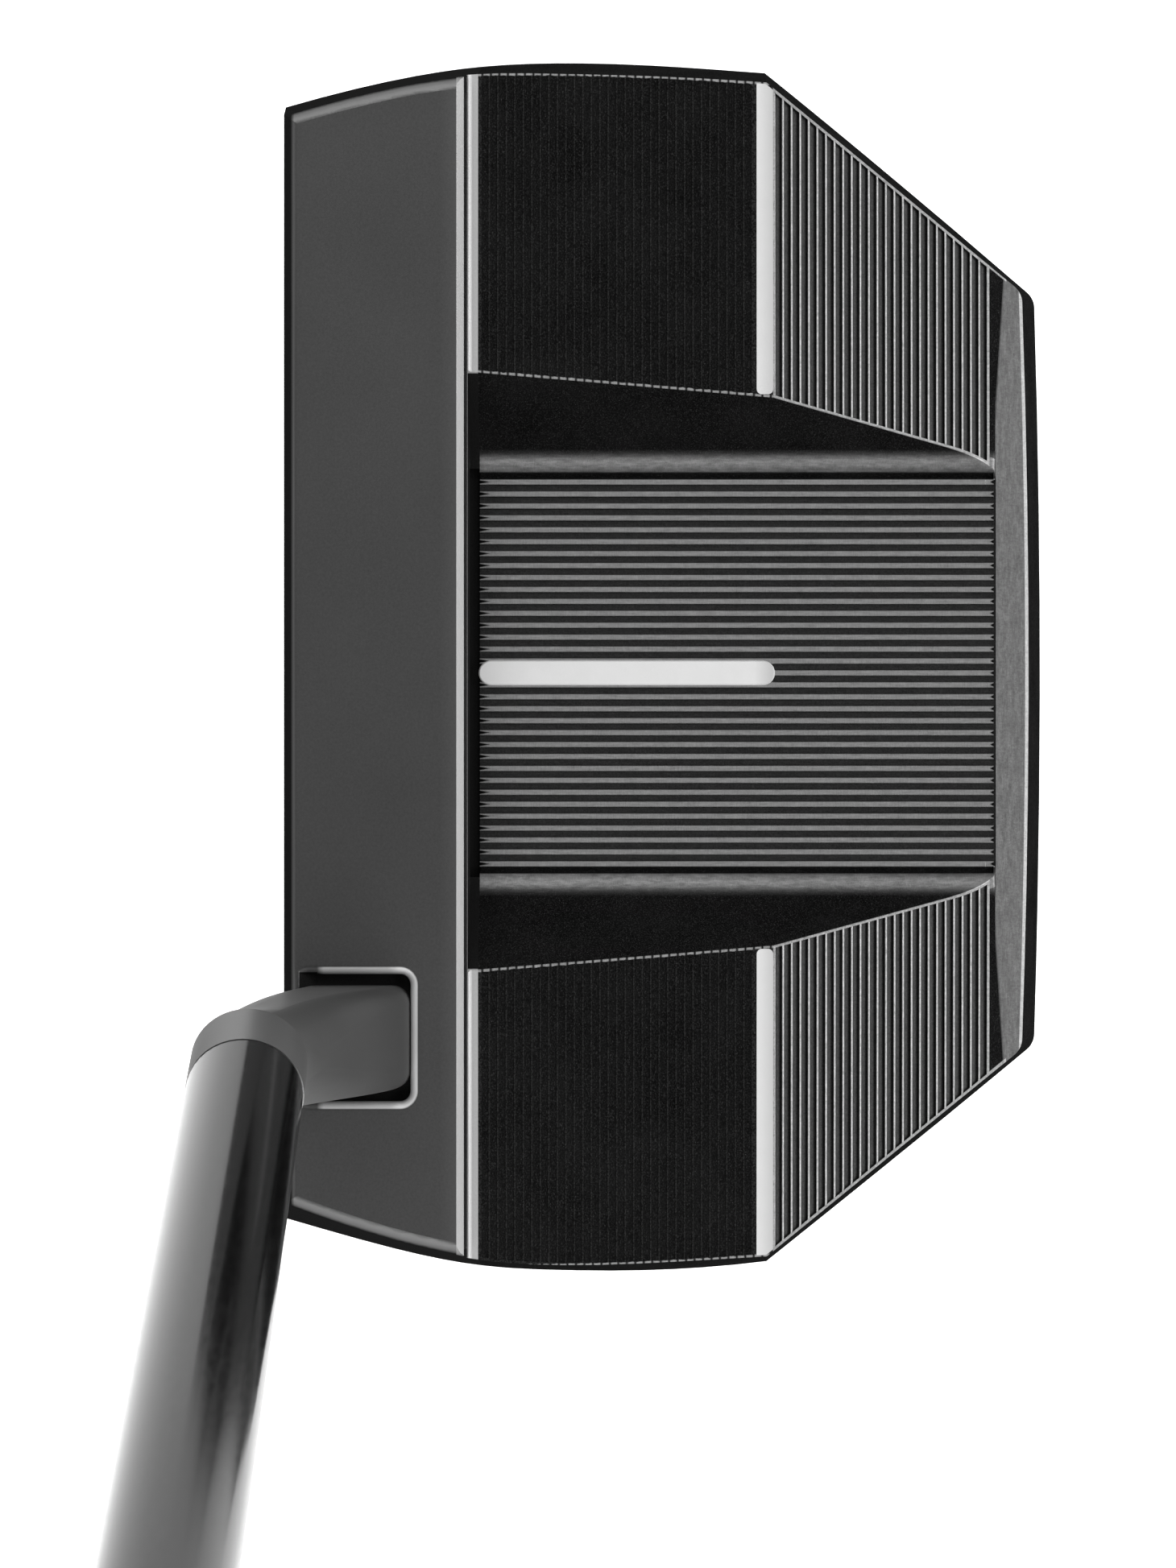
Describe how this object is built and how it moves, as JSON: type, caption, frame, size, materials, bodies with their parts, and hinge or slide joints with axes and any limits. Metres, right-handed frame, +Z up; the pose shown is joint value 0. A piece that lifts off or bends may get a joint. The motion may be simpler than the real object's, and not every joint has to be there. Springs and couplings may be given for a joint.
{
  "type": "mallet putter",
  "caption": "Mid-mallet golf putter with a stepped front bar, ridged wings, a ribbed channel with a sight line, a forward-leaning neck, a tubular shaft and a pistol grip.",
  "frame": {"origin": "on the flat of the sole, in the head's plane of symmetry, near the middle of the head", "axes": "+Z up from the sole; +X towards the heel and the player, -X towards the toe; -Y out of the striking face, towards the target; +Y to the back of the head"},
  "size_m": [0.3863, 0.0835, 0.8425],
  "materials": {
    "bar_satin": "satin",
    "body_black": "satin",
    "neck_satin": "satin",
    "insert_face": "satin",
    "backing_rubber": "matte",
    "white_fill": "gloss",
    "shaft_black": "gloss",
    "epoxy": "gloss",
    "tape": "matte",
    "grip_foam": "matte",
    "grip_rubber": "matte",
    "grip_plastic": "matte",
    "weight_steel": "satin",
    "washer_nylon": "matte"
  },
  "bodies": {
    "club": {"front_bar": "bar_satin", "rear_body": "body_black", "hosel_neck": "neck_satin", "face_insert": "insert_face", "insert_backing": "backing_rubber", "sight_line": "white_fill", "toe_stripe": "white_fill", "heel_stripe": "white_fill", "shaft": "shaft_black", "shaft_epoxy": "epoxy", "grip_tape": "tape", "grip_core": "grip_foam", "grip_skin": "grip_rubber", "grip_cap": "grip_plastic"},
    "toe_washer": {"toe_weight_washer": "washer_nylon"},
    "toe_weight": {"toe_weight": "weight_steel"},
    "heel_washer": {"heel_weight_washer": "washer_nylon"},
    "heel_weight": {"heel_weight": "weight_steel"}
  },
  "joints": [
    {"name": "toe_washer_slide", "type": "slide", "parent": "club", "child": "toe_washer", "axis": [0, 0, -1], "range_m": [0, 0.0071]},
    {"name": "toe_weight_turn", "type": "hinge", "parent": "toe_washer", "child": "toe_weight", "pos_m": [-0.037, -0.003, 0.0013], "axis": [0, 0, -1], "range_deg": [0, 2520]},
    {"name": "heel_washer_slide", "type": "slide", "parent": "club", "child": "heel_washer", "axis": [0, 0, -1], "range_m": [0, 0.0071]},
    {"name": "heel_weight_turn", "type": "hinge", "parent": "heel_washer", "child": "heel_weight", "pos_m": [0.037, -0.003, 0.0013], "axis": [0, 0, -1], "range_deg": [0, 2520]}
  ],
  "couplings": [
    {"joint": "toe_washer_slide", "follows": "toe_weight_turn", "m_per_rad": 0.00015915},
    {"joint": "heel_washer_slide", "follows": "heel_weight_turn", "m_per_rad": 0.00015915}
  ]
}
